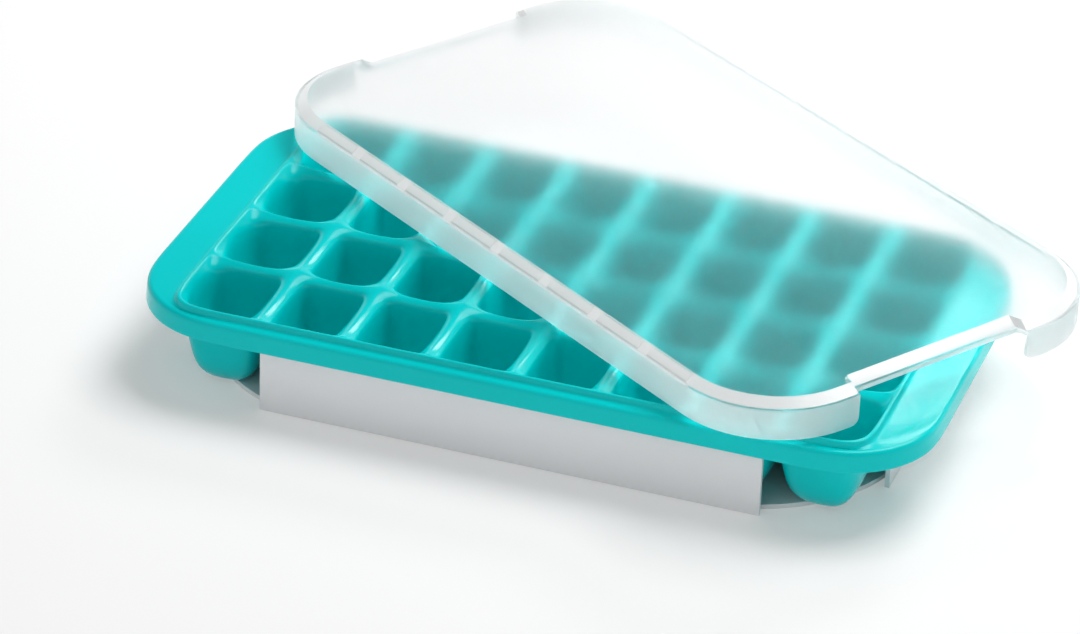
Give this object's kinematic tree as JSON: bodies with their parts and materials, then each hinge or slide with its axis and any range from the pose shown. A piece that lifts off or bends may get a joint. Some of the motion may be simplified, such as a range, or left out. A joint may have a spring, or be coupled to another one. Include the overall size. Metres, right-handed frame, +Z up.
{
  "type": "ice cube tray",
  "caption": "Flexible ice cube tray with rows of deep square cups and a grip at each end, standing in a white stand, with a frosted cover laid askew on top.",
  "frame": {"origin": "centre of the stand's underside, on the surface it stands on", "axes": "+Z up, +X along the tray from the grip at the left of the picture to the grip at its right, +Y across the tray away from the viewer"},
  "size_m": [0.3349, 0.2872, 0.052],
  "materials": {
    "tray": "satin",
    "lid": "frosted",
    "stand": "satin"
  },
  "bodies": {
    "root": {"tray": "tray", "lid": "lid", "stand": "stand"}
  },
  "joints": []
}
